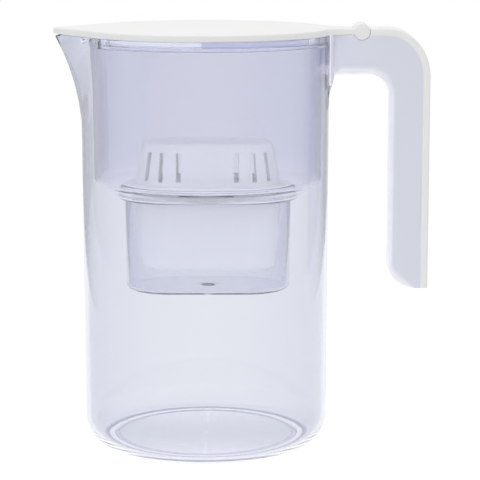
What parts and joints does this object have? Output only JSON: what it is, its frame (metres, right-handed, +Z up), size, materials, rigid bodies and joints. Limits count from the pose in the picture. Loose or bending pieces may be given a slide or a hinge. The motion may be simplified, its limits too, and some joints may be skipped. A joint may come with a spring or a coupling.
{
  "type": "water filter pitcher",
  "caption": "Clear round jug with a drawn-out spout, a tinted reservoir with an oblong filter cup, a hooked handle and a flip lid hinged on the handle.",
  "frame": {"origin": "on the jug's axis, on its base", "axes": "+Z up, +X towards the handle, -X towards the spout"},
  "size_m": [0.2236, 0.1492, 0.2532],
  "materials": {
    "clear_plastic": "clear, moulded",
    "tinted_plastic": "tinted, moulded",
    "cup_plastic": "clear, moulded",
    "cartridge_plastic": "white, moulded",
    "milky_plastic": "milky, satin",
    "white_plastic": "white, satin",
    "soft_rubber": "moulded silicone",
    "felt": "needled felt",
    "woven_screen": "woven polyester screen",
    "carbon": "black granules",
    "resin": "amber beads",
    "steel": "bright drawn wire"
  },
  "bodies": {
    "pitcher": {"jug": "clear_plastic", "reservoir": "tinted_plastic", "filter_cup": "cup_plastic", "cup_gasket": "soft_rubber", "cartridge_housing": "cartridge_plastic", "cartridge_cap": "cartridge_plastic", "cartridge_seal": "soft_rubber", "inlet_screen": "woven_screen", "felt_pad": "felt", "carbon_bed": "carbon", "resin_bed": "resin", "outlet_screen": "woven_screen", "handle_shell": "milky_plastic", "handle_strip": "white_plastic", "handle_screws": "steel", "hinge_pin": "steel"},
    "lid": {"flip_lid": "white_plastic", "lid_liner": "cartridge_plastic", "lid_seal": "soft_rubber"},
    "spout_flap": {"spout_flap": "white_plastic"}
  },
  "joints": [
    {"name": "lid_hinge", "type": "hinge", "parent": "pitcher", "child": "lid", "pos_m": [0.0928, 0, 0.2483], "axis": [0, 1, 0], "range_deg": [0, 100]},
    {"name": "spout_flap_hinge", "type": "hinge", "parent": "lid", "child": "spout_flap", "pos_m": [-0.06948, 0, 0.2447], "axis": [0, 1, 0], "range_deg": [0, 65]}
  ]
}
